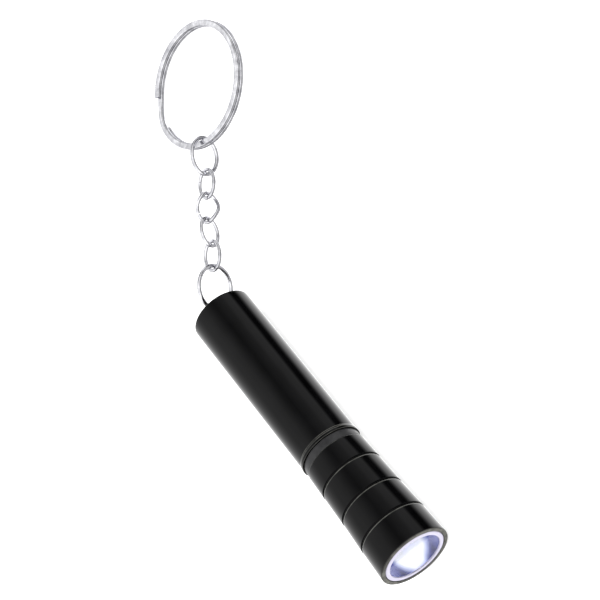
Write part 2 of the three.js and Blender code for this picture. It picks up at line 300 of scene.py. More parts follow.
def swept_rings(path, section, normals=None, round_ends=0.3):
    """Rings of a section swept along an open path, with eased ends and a closing point at each.
    Without normals the section keeps as still as it can about the path."""
    count = len(path)
    tangents = []
    for i in range(count):
        tangents.append((path[min(i + 1, count - 1)] - path[max(i - 1, 0)]).normalized())
    if normals is None:
        side = tangents[0].orthogonal().normalized()
        normals = []
        for tangent in tangents:
            side = (side - tangent * side.dot(tangent)).normalized()
            normals.append(side)
    rings = []

    def ring(i, shift, scale):
        across = tangents[i].cross(normals[i])
        centre = path[i] + tangents[i] * shift
        return [tuple(centre + (normals[i] * a + across * b) * scale) for a, b in section]

    ease = [(math.sin(t * math.pi / 8), math.cos(t * math.pi / 8)) for t in (1, 2, 3)]
    for out, size in reversed(ease):
        rings.append(ring(0, -out * round_ends, lerp(1 - round_ends, 1, size)))
    rings.insert(0, [tuple(path[0] - tangents[0] * round_ends)])
    for i in range(count):
        rings.append(ring(i, 0, 1))
    for out, size in ease:
        rings.append(ring(count - 1, out * round_ends, lerp(1 - round_ends, 1, size)))
    rings.append([tuple(path[-1] + tangents[-1] * round_ends)])
    return rings


def swept(name, path, section, place, normals=None, round_ends=0.3):
    points, faces = skinned(swept_rings(path, section, normals, round_ends))
    return mesh_piece(name, points, faces, place)


def joined(name, pieces, operation="UNION"):
    """The first piece with the others joined to it or cut from it, as one solid."""
    base = pieces[0]
    for other in pieces[1:]:
        step = base.modifiers.new("join", "BOOLEAN")
        step.operation = operation
        step.solver = "EXACT"
        step.object = other
        bpy.context.view_layer.update()
        made = bpy.data.meshes.new_from_object(
            base.evaluated_get(bpy.context.evaluated_depsgraph_get())
        )
        base.modifiers.clear()
        base.data = made
        bpy.data.objects.remove(other)
    base.name = name
    base.data.name = name
    smoothed(base.data)
    return base


def slab(name, outline, low, high, place, bevel):
    """A flat slab with bevelled edges: an outline in X and Y, between two heights."""
    work = bmesh.new()
    bottom = [work.verts.new([c * MM for c in (x, y, low)]) for x, y in outline]
    top = [work.verts.new([c * MM for c in (x, y, high)]) for x, y in outline]
    work.faces.new(list(reversed(bottom)))
    work.faces.new(top)
    for i in range(len(outline)):
        j = (i + 1) % len(outline)
        work.faces.new((bottom[i], bottom[j], top[j], top[i]))
    bmesh.ops.recalc_face_normals(work, faces=work.faces)
    bmesh.ops.bevel(
        work,
        geom=list(work.edges),
        offset=bevel * MM,
        segments=3,
        profile=0.6,
        affect="EDGES",
        clamp_overlap=True,
    )
    return in_scene(name, work, bpy.data.meshes.new(name), place)


# ---------------------------------------------------------------- materials

LAMP_GLOW = 14.0
# How strongly the bowl's painted glow shines, standing in for the lamp's light on it.
BOWL_PAINTED_GLOW = 1.1
# The painted band of lamp light across the bowl: the direction across it, as Y and Z, and how far
# to each side it is full and gone.
PAINTED_BAND_ACROSS = (-0.83, 0.56)
PAINTED_BAND_FULL, PAINTED_BAND_GONE = 1.0, 4.2
# The wear of the head's front face. What is above 1 is even, and the rest is patchy.
RIM_WEAR = 1.75
# The colour of worn black edges, which along the groove and tube lips is also a painted highlight
# line.
WORN_BLACK_AND_LIP_HIGHLIGHT = (0.16, 0.158, 0.142)
METAL_EDGE = (0.25, 0.25, 0.27, 1)
NICKEL_DARK, NICKEL_LIGHT = (0.44, 0.44, 0.47), (0.84, 0.84, 0.87)


def node(tree, kind, inputs=None, **settings):
    """A shader node with its settings, and its inputs set or linked by name or number."""
    made = tree.nodes.new("ShaderNode" + kind)
    for key, value in settings.items():
        setattr(made, key, value)
    for key, value in (inputs or {}).items():
        if isinstance(value, bpy.types.NodeSocket):
            tree.links.new(value, made.inputs[key])
        else:
            made.inputs[key].default_value = value
    return made


def maths(tree, operation, a, b=0.0):
    return node(tree, "Math", {0: a, 1: b}, operation=operation).outputs[0]


def new_material(name):
    made = bpy.data.materials.new(name)
    made.use_nodes = True
    made.node_tree.nodes.clear()
    return made, made.node_tree


def finished(tree, **inputs):
    """Ends a material in one Principled shader with these inputs."""
    named = {key.replace("_", " "): value for key, value in inputs.items()}
    shader = node(tree, "BsdfPrincipled", named)
    out = node(tree, "OutputMaterial")
    tree.links.new(shader.outputs[0], out.inputs["Surface"])
    return shader


def local(tree, stretch=(1, 1, 1)):
    """The piece's own coordinates in millimetres, stretched."""
    place = node(tree, "TexCoord").outputs["Object"]
    scale = tuple(1000 * s for s in stretch)
    return node(tree, "Mapping", {"Vector": place, "Scale": scale}).outputs[0]


def own_axes(tree):
    """The piece's own X, Y and Z in millimetres, as outputs by name."""
    return node(tree, "SeparateXYZ", {0: local(tree)}).outputs


def noise(tree, scale, stretch=(1, 1, 1), detail=3.0):
    return node(tree, "TexNoise", {
        "Vector": local(tree, stretch),
        "Scale": scale,
        "Detail": detail,
        "Roughness": 0.55,
    }).outputs["Fac"]


def ramp(tree, value, *stops):
    """A colour ramp through (position, colour or grey) stops."""
    made = node(tree, "ValToRGB", {"Fac": value})
    elements = made.color_ramp.elements
    while len(elements) < len(stops):
        elements.new(0.5)
    for element, (position, colour) in zip(elements, stops):
        element.position = position
        if not isinstance(colour, tuple):
            colour = (colour,) * 3
        element.color = (*colour, 1)
    return made.outputs["Color"]


def ranged(tree, value, low, high, from_low=0.3, from_high=0.7):
    """Stretches a value to run from low to high. It is taken to be a noise unless its range is
    given."""
    return node(tree, "MapRange", {
        "Value": value,
        "From Min": from_low,
        "From Max": from_high,
        "To Min": low,
        "To Max": high,
    }).outputs[0]


def mixed(tree, factor, a, b):
    made = node(tree, "Mix", data_type="RGBA")
    for key, value in (("Factor", factor), ("A", a), ("B", b)):
        socket = [s for s in made.inputs if s.name == key and s.enabled][0]
        if isinstance(value, bpy.types.NodeSocket):
            tree.links.new(value, socket)
        else:
            socket.default_value = (*value, 1)
    return [s for s in made.outputs if s.enabled][0]


def bumped(tree, height, strength, distance, under=None):
    inputs = {"Height": height, "Strength": strength, "Distance": distance * MM}
    if under is not None:
        inputs["Normal"] = under
    return node(tree, "Bump", inputs).outputs[0]


def worn(tree, amount):
    """How worn a turned edge is, and on the black metal where its painted lip highlight goes: its
    place in the corner, made patchy by noise, and evenly worn where the edge attribute is more than
    1."""
    edge = node(tree, "Attribute", attribute_name="edge").outputs["Fac"]
    patchy = ranged(tree, noise(tree, 0.5, detail=3), 0.4, 0.9, 0.42, 0.6)
    broken = maths(tree, "MULTIPLY", edge, patchy)
    even = maths(tree, "SUBTRACT", edge, 1.0)
    return maths(tree, "MULTIPLY", maths(tree, "MAXIMUM", broken, even), amount)


def turning_lines(tree, per_mm=5.0):
    """Fine rings left by a lathe, along the axis."""
    return noise(tree, per_mm, (1, 0.03, 0.03), detail=2)


def gloss_black():
    made, tree = new_material("black_metal")
    haze = noise(tree, 0.35, (0.5, 1, 1), detail=5)
    peel = noise(tree, 0.3, (0.35, 1, 1), detail=0)
    base = ramp(tree, haze, (0.3, (0.0007, 0.0007, 0.0008)), (0.7, (0.0018, 0.0018, 0.0020)))
    # Worn edges, lighter; along the groove and tube lips this also paints a highlight line.
    wear = worn(tree, 0.45)
    colour = mixed(tree, wear, base, WORN_BLACK_AND_LIP_HIGHLIGHT)
    rough = maths(tree, "ADD", ranged(tree, haze, 0.05, 0.08), maths(tree, "MULTIPLY", wear, 0.2))
    fine = bumped(tree, turning_lines(tree), 0.05, 0.002)
    normal = bumped(tree, peel, 0.25, 0.03, fine)
    finished(tree, Base_Color=colour, Roughness=rough, IOR=1.25, Normal=normal)
    return made


def neck_plastic():
    made, tree = new_material("neck_plastic")
    cloud = noise(tree, 0.8, detail=5)
    base = ramp(tree, cloud, (0.3, (0.011, 0.011, 0.012)), (0.7, (0.021, 0.021, 0.022)))
    normal = bumped(tree, turning_lines(tree, 7), 0.5, 0.012)
    rough = ranged(tree, cloud, 0.28, 0.42)
    finished(tree, Base_Color=base, Roughness=rough, IOR=1.35, Normal=normal)
    return made


def bright_metal(name, dark, light, smooth, rough, along=(0.15, 1, 1)):
    """Plated or drawn wire: clear reflections, faint haze and scratches along it."""
    made, tree = new_material(name)
    haze = noise(tree, 0.5, detail=5)
    scratch = noise(tree, 7, along, detail=3)
    base = ramp(tree, haze, (0.32, dark), (0.68, light))
    wear = worn(tree, 0.4)
    colour = mixed(tree, wear, base, tuple(c * 0.8 for c in light))
    drawn = ranged(tree, scratch, smooth, rough)
    finished(
        tree, Base_Color=colour, Metallic=1.0, Specular_Tint=METAL_EDGE,
        Roughness=maths(tree, "ADD", drawn, maths(tree, "MULTIPLY", wear, 0.15)),
        Normal=bumped(tree, scratch, 0.18, 0.004),
    )
    return made


def seal_rubber():
    made, tree = new_material("seal_rubber")
    grain = noise(tree, 9, detail=4)
    base = ramp(tree, grain, (0.3, 0.012), (0.7, 0.028))
    finished(
        tree, Base_Color=base, Roughness=ranged(tree, grain, 0.5, 0.8),
        Normal=bumped(tree, grain, 0.4, 0.01),
    )
    return made


def moulded(name, dark, light, rough=0.45):
    """A plain moulded plastic with a fine spark-eroded grain."""
    made, tree = new_material(name)
    grain = noise(tree, 11, detail=3)
    cloud = noise(tree, 0.4, detail=4)
    base = ramp(tree, cloud, (0.3, dark), (0.7, light))
    finished(
        tree, Base_Color=base, Roughness=ranged(tree, grain, rough - 0.1, rough + 0.12),
        Normal=bumped(tree, grain, 0.3, 0.008),
    )
    return made


def cell_wrap():
    """The cell's printed sleeve: a blue body, a silver band by its plus end, bare steel ends."""
    made, tree = new_material("cell_wrap")
    place = ranged(tree, own_axes(tree)["X"], 0, 1, CELL_REAR, CELL_FRONT)
    foil = noise(tree, 3, (1, 0.2, 0.2), detail=4)
    blue = ramp(tree, foil, (0.3, (0.02, 0.06, 0.13)), (0.7, (0.035, 0.09, 0.18)))
    silver = ramp(tree, foil, (0.3, (0.45, 0.46, 0.48)), (0.7, (0.62, 0.63, 0.66)))
    band = ramp(tree, place, (0.0, 1.0), (0.012, 0.0), (0.78, 1.0), (0.955, 0.0), (0.985, 1.0))
    band.node.color_ramp.interpolation = "CONSTANT"
    colour = mixed(tree, band, blue, silver)
    metal = maths(tree, "MULTIPLY", band, 0.9)
    scuff = noise(tree, 1.2, (0.2, 1, 1), detail=6)
    finished(
        tree, Base_Color=colour, Metallic=metal, Roughness=ranged(tree, scuff, 0.22, 0.42),
        Normal=bumped(tree, scuff, 0.15, 0.01),
    )
    return made


def board_laminate():
    """Solder mask over traces: paler green lines where copper runs under it."""
    made, tree = new_material("board_laminate")
    lines = node(tree, "TexVoronoi", {"Vector": local(tree, (0.01, 1, 1)), "Scale": 0.9},
                 feature="DISTANCE_TO_EDGE").outputs["Distance"]
    trace = ranged(tree, lines, 1, 0, 0.05, 0.08)
    weave = noise(tree, 14, detail=2)
    mask = ramp(tree, weave, (0.3, (0.006, 0.085, 0.03)), (0.7, (0.010, 0.12, 0.045)))
    colour = mixed(tree, trace, mask, (0.03, 0.22, 0.08))
    finished(
        tree, Base_Color=colour, Roughness=ranged(tree, weave, 0.25, 0.4),
        Normal=bumped(tree, trace, 0.4, 0.02),
    )
    return made


def lamp_epoxy():
    """Clear epoxy, lit: white at the dome and bluer down its sides."""
    made, tree = new_material("lamp_epoxy")
    place = ranged(tree, own_axes(tree)["X"], 0, 1, LAMP_REAR, LAMP_REAR + LAMP_LENGTH)
    swirl = noise(tree, 0.8, detail=2)
    glow = ramp(tree, maths(tree, "ADD", place, maths(tree, "MULTIPLY", swirl, 0.06)),
                (0.1, (0.35, 0.42, 0.95)), (0.45, (0.72, 0.80, 1.0)), (0.9, (1.0, 1.0, 1.0)))
    finished(
        tree, Base_Color=(0.85, 0.88, 1.0, 1), Roughness=ranged(tree, swirl, 0.03, 0.09), IOR=1.5,
        Emission_Color=glow, Emission_Strength=LAMP_GLOW,
    )
    made.cycles.emission_sampling = "NONE"
    return made


def reflector_silver():
    """Vacuum silvering on a moulded bowl, with its blue cast and turned tool marks. A painted glow
    stands for the lamp's light on it: white deep inside and in a band across it, fixed to the bowl,
    fading to deep blue on either side."""
    made, tree = new_material("reflector_silver")
    haze = noise(tree, 0.6, detail=4)
    base = ramp(tree, haze, (0.3, (0.025, 0.032, 0.17)), (0.7, (0.055, 0.065, 0.28)))
    wave = noise(tree, 1.1, (1, 0.5, 0.5), detail=1)
    rough = ranged(tree, haze, 0.10, 0.18)
    normal = bumped(tree, wave, 0.35, 0.03, bumped(tree, turning_lines(tree, 6), 0.1, 0.005))
    # Painted light: a glow fixed to the bowl, white deep inside and in a band across it, deep blue
    # to either side.
    place = own_axes(tree)
    depth = ranged(tree, place["X"], 0, 1, BOWL_FRONT, BOWL_REAR)
    streak = noise(tree, 0.22, (0.3, 1, 1), detail=1)
    lit = maths(tree, "ADD", depth, ranged(tree, streak, -0.06, 0.06))
    shares = [maths(tree, "MULTIPLY", place[axis], part) for axis, part in zip("YZ", PAINTED_BAND_ACROSS)]
    aside = maths(tree, "ABSOLUTE", maths(tree, "ADD", *shares))
    lit = maths(tree, "ADD", lit, ranged(tree, aside, 0.22, -0.12, PAINTED_BAND_FULL, PAINTED_BAND_GONE))
    glow = ramp(tree, lit, (0.02, (0.0, 0.004, 0.03)), (0.10, (0.03, 0.04, 0.15)),
                (0.19, (0.36, 0.41, 0.62)), (0.30, (0.95, 0.97, 1.0)))
    finished(tree, Base_Color=base, Metallic=1.0, Roughness=rough, Normal=normal,
             Emission_Color=glow, Emission_Strength=BOWL_PAINTED_GLOW)
    made.cycles.emission_sampling = "NONE"
    return made


def lens_clear():
    """Clear acrylic with a frosted rim where it seats on the bowl's flange, and a faint painted
    glow on that rim.
    """
    made, tree = new_material("lens_clear")
    place = own_axes(tree)
    squares = [maths(tree, "POWER", place[axis], 2.0) for axis in "YZ"]
    radius = maths(tree, "SQRT", maths(tree, "ADD", *squares))
    frost_and_painted_glow = ranged(tree, radius, 0, 1, BOWL_FRONT_RADIUS, BOWL_FRONT_RADIUS + 0.08)
    clear = maths(tree, "SUBTRACT", 1.0, frost_and_painted_glow)
    smear = noise(tree, 0.5, detail=5)
    tint = ramp(tree, smear, (0.3, (0.95, 0.96, 1.0)), (0.7, (1.0, 1.0, 1.0)))
    colour = mixed(tree, frost_and_painted_glow, tint, (0.46, 0.44, 0.53))
    # A faint painted glow on the frosted rim, standing in for light caught in it.
    glow = mixed(tree, frost_and_painted_glow, (0, 0, 0), (0.05, 0.05, 0.07))
    rough = maths(tree, "ADD", ranged(tree, smear, 0.0, 0.02), maths(tree, "MULTIPLY", frost_and_painted_glow, 0.3))
    finished(
        tree, Base_Color=colour, Roughness=rough, IOR=1.3, Transmission_Weight=clear,
        Emission_Color=glow, Emission_Strength=1.0,
    )
    return made


# The finish of each of the record's material slots.
FINISHES = {
    "black_metal": gloss_black(),
    "steel": bright_metal("steel", (0.40, 0.41, 0.42), (0.56, 0.57, 0.59), 0.18, 0.32),
    "bright_chrome": bright_metal("bright_chrome", NICKEL_DARK, NICKEL_LIGHT, 0.06, 0.14),
    "seal_rubber": seal_rubber(),
    "neck_plastic": neck_plastic(),
    "cell_wrap": cell_wrap(),
    "cell_seal_plastic": moulded("cell_seal_plastic", (0.55, 0.54, 0.49), (0.68, 0.66, 0.61)),
    "contact_brass": bright_metal(
        "contact_brass", (0.52, 0.35, 0.12), (0.70, 0.50, 0.20), 0.2, 0.36, (1, 0.05, 0.05)),
    "board_laminate": board_laminate(),
    "coil_core": moulded("coil_core", (0.020, 0.018, 0.017), (0.038, 0.034, 0.031), 0.5),
    "chip_plastic": moulded("chip_plastic", (0.008, 0.008, 0.009), (0.016, 0.016, 0.017), 0.4),
    "holder_plastic": moulded("holder_plastic", (0.62, 0.62, 0.58), (0.74, 0.74, 0.71), 0.4),
    "lamp_epoxy": lamp_epoxy(),
    "reflector_silver": reflector_silver(),
    "lens_clear": lens_clear(),
}
COPPER = bright_metal(
    "winding_copper", (0.45, 0.17, 0.08), (0.66, 0.28, 0.13), 0.22, 0.34, (1, 0.1, 0.1))
SOLDER = bright_metal("solder", (0.42, 0.42, 0.44), (0.60, 0.60, 0.62), 0.2, 0.38, (1, 1, 1))


def rides_with(piece, node_name, finish):
    """Gives a piece its finish and the body of a CAD node."""
    piece.data.materials.clear()
    piece.data.materials.append(finish)
    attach(piece, BODY_OF[node_name])


def stands_for(piece, node_name, slot):
    """Gives a piece its finish and body in place of a CAD node."""
    rides_with(piece, node_name, FINISHES[slot])
    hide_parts(node_name)


# ---------------------------------------------------------------- the torch's metal

def thread_rows(first, last, radius):
    """Rows close enough together to carry a thread."""
    count = round((last - first) / THREAD_STEP)
    return [(lerp(first, last, i / count), radius, 0.0) for i in range(count + 1)]


def thread_bend(first, last, depth):
    """A helical ridge on a turned surface, fading in and out at its ends."""
    def bend(station, angle, radius):
        if not first <= station <= last:
            return radius
        turn = (station / THREAD_PITCH - angle / (2 * math.pi)) % 1
        ridge = smoothstep(turn, 0, 0.4) - smoothstep(turn, 0.5, 0.9)
        fade_in = smoothstep(station, first, first + THREAD_FADE)
        fade_out = 1 - smoothstep(station, last - THREAD_FADE, last)
        return radius + depth * ridge * fade_in * fade_out

    return bend


def barrel():
    first, last = SPIGOT_END - 4.2, SPIGOT_END - 0.3
    rear = softened([
        (PLUG_FRONT, BORE_RADIUS),
        (0.9, BORE_RADIUS),
        (0.25, BORE_RADIUS + 0.45, 0.2),
        (0.0, BORE_RADIUS + 0.75, 0.2),
        (0.0, TUBE_RADIUS - 0.02, 0.62),
        (1.2, TUBE_RADIUS, 0.05),
        (TUBE_END - 1.0, TUBE_RADIUS, 0.1),
        (TUBE_END - 0.62, LIP_RADIUS, 0.12),
        (TUBE_END, LIP_RADIUS, 0.1),
        (TUBE_END, SPIGOT_RADIUS + 0.02, 0.05),
        (TUBE_END + 0.4, SPIGOT_RADIUS - 0.02, 0.1),
        (first - 0.1, SPIGOT_RADIUS - 0.02),
    ], steps=6)
    front = softened([
        (last + 0.05, SPIGOT_RADIUS),
        (SPIGOT_END - 0.12, SPIGOT_RADIUS, 0.1),
        (SPIGOT_END, SPIGOT_RADIUS - 0.14, 0.1),
        (SPIGOT_END, BORE_RADIUS + 0.08, 0.08),
        (SPIGOT_END - 0.15, BORE_RADIUS, 0.08),
        (PLUG_FRONT + 0.05, BORE_RADIUS),
    ])
    rows = rear + thread_rows(first, last, SPIGOT_RADIUS) + front
    rows.append(rows[0])
    return turned("barrel_tube", rows, bend=thread_bend(first, last, THREAD_DEPTH * 0.95))


def eye_plate():
    """A plate rounded at its end, with an eye whose lips flare for the ring."""
    steps = 24
    root = PLUG_REAR + 1.2
    outline = [(root, -EYE_PLATE_RADIUS), (root, EYE_PLATE_RADIUS)]
    for i in range(steps + 1):
        angle = math.radians(90 + 180 * i / steps)
        outline.append((
            EYE_X + EYE_PLATE_RADIUS * math.cos(angle), EYE_PLATE_RADIUS * math.sin(angle)))
    half = EYE_PLATE_THICKNESS / 2
    plate = slab("plate", outline, -half, half, TORCH, 0.22)
    end, flare_start, flared = half + 0.05, half - 0.23, EYE_RADIUS + 0.24
    spool = softened([
        (-end, 0), (-end, flared, 0.01), (-flare_start, EYE_RADIUS, 0.2),
        (flare_start, EYE_RADIUS, 0.2), (end, flared, 0.01), (end, 0),
    ])
    upright = TORCH @ Matrix.Translation((EYE_X * MM, 0, 0)) @ Matrix.Rotation(-math.pi / 2, 4, "Y")
    cutter = turned("cutter", spool, place=upright, sides=64)
    return joined("plate", [plate, cutter], "DIFFERENCE")


def tail_cap():
    disc = turned("tail_disc", softened([
        (PLUG_REAR + 0.35, 0),
        (PLUG_REAR + 0.35, BORE_RADIUS - 1.5, 0.1),
        (PLUG_REAR, BORE_RADIUS - 1.15, 0.1),
        (PLUG_REAR, BORE_RADIUS - 0.05, 0.2),
        (PLUG_FRONT, BORE_RADIUS - 0.05, 0.2),
        (PLUG_FRONT, 0),
    ]), sides=SMALL_SIDES)
    return joined("tail_cap", [disc, eye_plate()])


def neck_collar():
    rear, front = TUBE_END + SLIP, NECK_END - SLIP
    inner = SPIGOT_RADIUS + FIT
    return turned("neck_collar", softened([
        (rear, inner), (rear, NECK_RADIUS, 0.15), (front, NECK_RADIUS, 0.15), (front, inner),
        (rear, inner),
    ], steps=4))


def o_ring():
    rear = NECK_END + 0.3
    inner, outer = SPIGOT_RADIUS + 0.02, THREAD_BORE_RADIUS - SLIP
    return turned("o_ring", softened([
        (rear, inner), (rear, outer, 0.2), (rear + 0.9, outer, 0.2), (rear + 0.9, inner),
        (rear, inner),
    ], size=0.09, steps=5), sides=SMALL_SIDES)


def head_radius(station):
    """The head's outside radius between grooves."""
    stations = (NECK_END + 0.15, *BAND_ENDS, FRONT - 0.5)
    radii = (HEAD_REAR_RADIUS, *BAND_RADII, HEAD_RADIUS)
    for a, b, ra, rb in zip(stations, stations[1:], radii, radii[1:]):
        if station <= b:
            return lerp(ra, rb, (station - a) / (b - a))
    return radii[-1]


def head_wear(station, edge):
    """The front face is worn all over, and the grooves' rear walls not at all; the grooves' front
    lips keep their corner value, which also paints a highlight line along them.
    """
    if station > FRONT - 0.03:
        return RIM_WEAR
    in_rear_wall = any(end - 0.35 < station < end for end in BAND_ENDS)
    return 0.0 if in_rear_wall else edge


def head_housing():
    outside = [
        (NECK_END, THREAD_BORE_RADIUS + 0.1, 0.08),
        (NECK_END, HEAD_REAR_RADIUS, 0.16),
    ]
    for end in BAND_ENDS:
        radius = head_radius(end)
        start, floor_start, floor_end, lip = (end + offset for offset in GROOVE_PROFILE)
        outside += [
            (start, radius, 0.05),
            (floor_start, radius - GROOVE_DEPTH, 0.05),
            (floor_end, radius - GROOVE_DEPTH, 0.06),
            (lip, radius + 0.01, 0.2),
        ]
    outside += [
        (FRONT - 0.5, HEAD_RADIUS, 0.1),
        (FRONT, HEAD_RADIUS - 0.02, 0.42),
        (FRONT, FRONT_BORE_RADIUS + 0.13, 0.06),
        (FRONT - 0.14, FRONT_BORE_RADIUS, 0.04),
        (FRONT_BORE_START, FRONT_BORE_RADIUS, 0.04),
        (FRONT_BORE_START, HEAD_BORE_RADIUS, 0.04),
        (SEAT, HEAD_BORE_RADIUS, 0.04),
        (SEAT, THREAD_BORE_RADIUS, 0.04),
    ]
    first, last = NECK_END + 1.4, SEAT - 0.5
    rows = softened(outside, steps=5)
    rows += reversed(thread_rows(first, last, THREAD_BORE_RADIUS))
    rows += [(NECK_END + 0.2, THREAD_BORE_RADIUS, 0.0)]
    rows = [(station, radius, head_wear(station, edge)) for station, radius, edge in rows]
    rows.append(rows[0])
    cut = thread_bend(first, last, THREAD_DEPTH)

    def bend(station, angle, radius):
        return cut(station, angle, radius) if abs(radius - THREAD_BORE_RADIUS) < 1e-6 else radius

    return turned("head_housing", rows, bend=bend)


# ---------------------------------------------------------------- inside the torch

def battery_spring():
    rear = PLUG_FRONT + FIT + SPRING_WIRE / 2
    front = CELL_REAR - FIT - SPRING_WIRE / 2
    steps = 150
    path = []
    for i in range(steps + 1):
        t = i / steps
        angle = t * SPRING_TURNS * 2 * math.pi
        y, z = math.cos(angle), math.sin(angle)
        radius = lerp(SPRING_WIDE, SPRING_NARROW, t)
        path.append(Vector((lerp(rear, front, t), radius * y, radius * z)))
    return swept("battery_spring", path, circle(SPRING_WIRE / 2, 14), TORCH, round_ends=0.1)


def cell_body():
    front = CELL_FRONT - NUB_LENGTH
    return turned("cell_body", softened([
        (CELL_REAR + 0.25, 0),
        (CELL_REAR + 0.25, 3.1, 0.2),
        (CELL_REAR, 3.5, 0.2),
        (CELL_REAR, CELL_RADIUS - 0.35, 0.35),
        (CELL_REAR + 0.7, CELL_RADIUS - 0.03, 0.2),
        (CELL_REAR + 0.75, CELL_RADIUS, 0.03),
        (front - 2.2, CELL_RADIUS, 0.3),
        (front - 1.7, CELL_RADIUS - 0.32, 0.3),
        (front - 1.2, CELL_RADIUS, 0.3),
        (front - 0.35, CELL_RADIUS, 0.2),
        (front, CELL_RADIUS - 0.5, 0.2),
        (front, CELL_RADIUS - 1.1, 0.15),
        (front - 0.4, CELL_RADIUS - 1.12, 0.1),
        (front - 0.4, 0),
    ], steps=4), sides=SMALL_SIDES)


def cell_gasket():
    front = CELL_FRONT - NUB_LENGTH
    return turned("cell_gasket", softened([
        (front - 0.35, NUB_RADIUS + 0.1), (front - 0.35, CELL_RADIUS - 1.2),
        (front - 0.05, CELL_RADIUS - 1.2, 0.1), (front - 0.05, 3.3, 0.1),
        (front - 0.2, 3.1, 0.1), (front - 0.2, NUB_RADIUS + 0.1), (front - 0.35, NUB_RADIUS + 0.1),
    ], size=0.05), sides=SMALL_SIDES)


def cell_button():
    root = CELL_FRONT - NUB_LENGTH
    return turned("cell_button", softened([
        (root - 0.35, 0),
        (root - 0.35, NUB_RADIUS, 0.08),
        (root - 0.1, NUB_RADIUS, 0.08),
        (CELL_FRONT - 0.05, NUB_RADIUS - 0.12, 0.35),
        (CELL_FRONT, 0.6, 0.3),
        (CELL_FRONT, 0),
    ], steps=5), sides=64)


def earth_ring():
    rear, inner, outer = SPIGOT_END + FIT, BORE_RADIUS + 0.1, THREAD_BORE_RADIUS - SLIP
    return turned("earth_ring", softened([
        (rear, inner), (rear, outer, 0.1), (SEAT, outer, 0.1), (SEAT, inner), (rear, inner),
    ], size=0.1), sides=SMALL_SIDES)


def plus_button():
    rear = CELL_FRONT + FIT
    return turned("plus_button", softened([
        (rear, 0), (rear, 0.9, 0.3), (rear + 0.35, 1.2, 0.15), (SEAT - 0.25, 1.25, 0.06),
        (SEAT - 0.25, 1.6, 0.06), (SEAT, 1.6, 0.06), (SEAT, 0),
    ]), sides=48)


def board():
    return turned("circuit_board", softened([
        (BOARD_REAR, 0), (BOARD_REAR, BOARD_RADIUS, 0.06), (BOARD_FRONT, BOARD_RADIUS, 0.06),
        (BOARD_FRONT, 0),
    ]), sides=SMALL_SIDES)


def board_pads():
    """The bare copper that the contacts press on, tinned."""
    rear, front = BOARD_REAR - 0.035, BOARD_REAR - 0.002
    ring = turned("board_ring_pad", softened([
        (rear, 5.45), (rear, 6.1), (front, 6.1), (front, 5.45), (rear, 5.45),
    ], size=0.01, steps=2), sides=SMALL_SIDES)
    dot = turned("board_centre_pad", softened([
        (rear, 0), (rear, 1.8, 0.02), (front, 1.8, 0.01), (front, 0)], steps=2), sides=48)
    return ring, dot


def coil_parts():
    """A drum core on end, and the wire wound on it."""
    rear = BOARD_FRONT + SLIP
    front = rear + COIL_HEIGHT
    rim, drum = 0.5, 0.8
    core = turned("coil_core", softened([
        (rear, 0), (rear, COIL_RADIUS, 0.1), (rear + rim, COIL_RADIUS, 0.1), (rear + rim, drum),
        (front - rim, drum), (front - rim, COIL_RADIUS, 0.1), (front, COIL_RADIUS, 0.1),
        (front, 0.4, 0.1), (front - 0.15, 0.3), (front - 0.15, 0),
    ], size=0.06), sides=48, about=COIL_CENTRE)
    steps = 6 * COIL_WRAPS
    low, high = rear + rim + 0.03, front - rim - 0.03
    rows = [(low, drum + 0.02, 0.0)]
    for i in range(steps + 1):
        t = i / steps
        wave = abs(math.sin(math.pi * COIL_WRAPS * t))
        rows.append((lerp(low, high, t), 1.2 + 0.1 * wave, 0.0))
    rows += [(high, drum + 0.02, 0.0), rows[0]]
    return core, turned("coil_winding", rows, sides=40, about=COIL_CENTRE)


def chip_parts():
    """A small chip with a row of three bent legs on each side."""
    low, high = BOARD_FRONT + 0.12, BOARD_FRONT + 1.15
    foot, top = 0.7, 0.6
    outline = [
        (low, CHIP_MIDDLE - foot), (high, CHIP_MIDDLE - top),
        (high, CHIP_MIDDLE + top), (low, CHIP_MIDDLE + foot),
    ]
    body = slab("chip_body", outline, -1.45, 1.45, TORCH, 0.07)
    section = [(0.05, 0.18), (-0.05, 0.18), (-0.05, -0.18), (0.05, -0.18)]
    points, faces = [], []
    for side in (-1, 1):
        normals = [Vector((side, 1, 0)).normalized()] * len(CHIP_LEG)
        for z in (-CHIP_LEG_PITCH, 0.0, CHIP_LEG_PITCH):
            path = [
                Vector((low + up, CHIP_MIDDLE + side * (CHIP_HALF_WIDTH + out), z))
                for up, out in CHIP_LEG
            ]
            rings = swept_rings(path, section, normals, 0.04)
            more, sides = skinned(rings, first=len(points))
            points += more
            faces += sides
    return body, mesh_piece("chip_legs", points, faces, TORCH)


def lamp_seat():
    """A cup with a relieved waist, open towards the board, and a hole in its front wall."""
    rear, front = BOARD_FRONT + SLIP, LAMP_REAR - FIT
    wall, waist, hole = BOARD_RADIUS - 0.9, BOARD_RADIUS - 0.2, 2.0
    return turned("lamp_seat", softened([
        (rear, wall), (rear, BOARD_RADIUS, 0.1),
        (rear + 1.15, BOARD_RADIUS, 0.1), (rear + 1.35, waist, 0.1),
        (front - 1.6, waist, 0.1), (front - 1.4, BOARD_RADIUS, 0.1), (front, BOARD_RADIUS, 0.2),
        (front, hole, 0.15), (front - 1, hole, 0.1), (front - 1, wall, 0.4), (rear, wall),
    ]), sides=SMALL_SIDES)


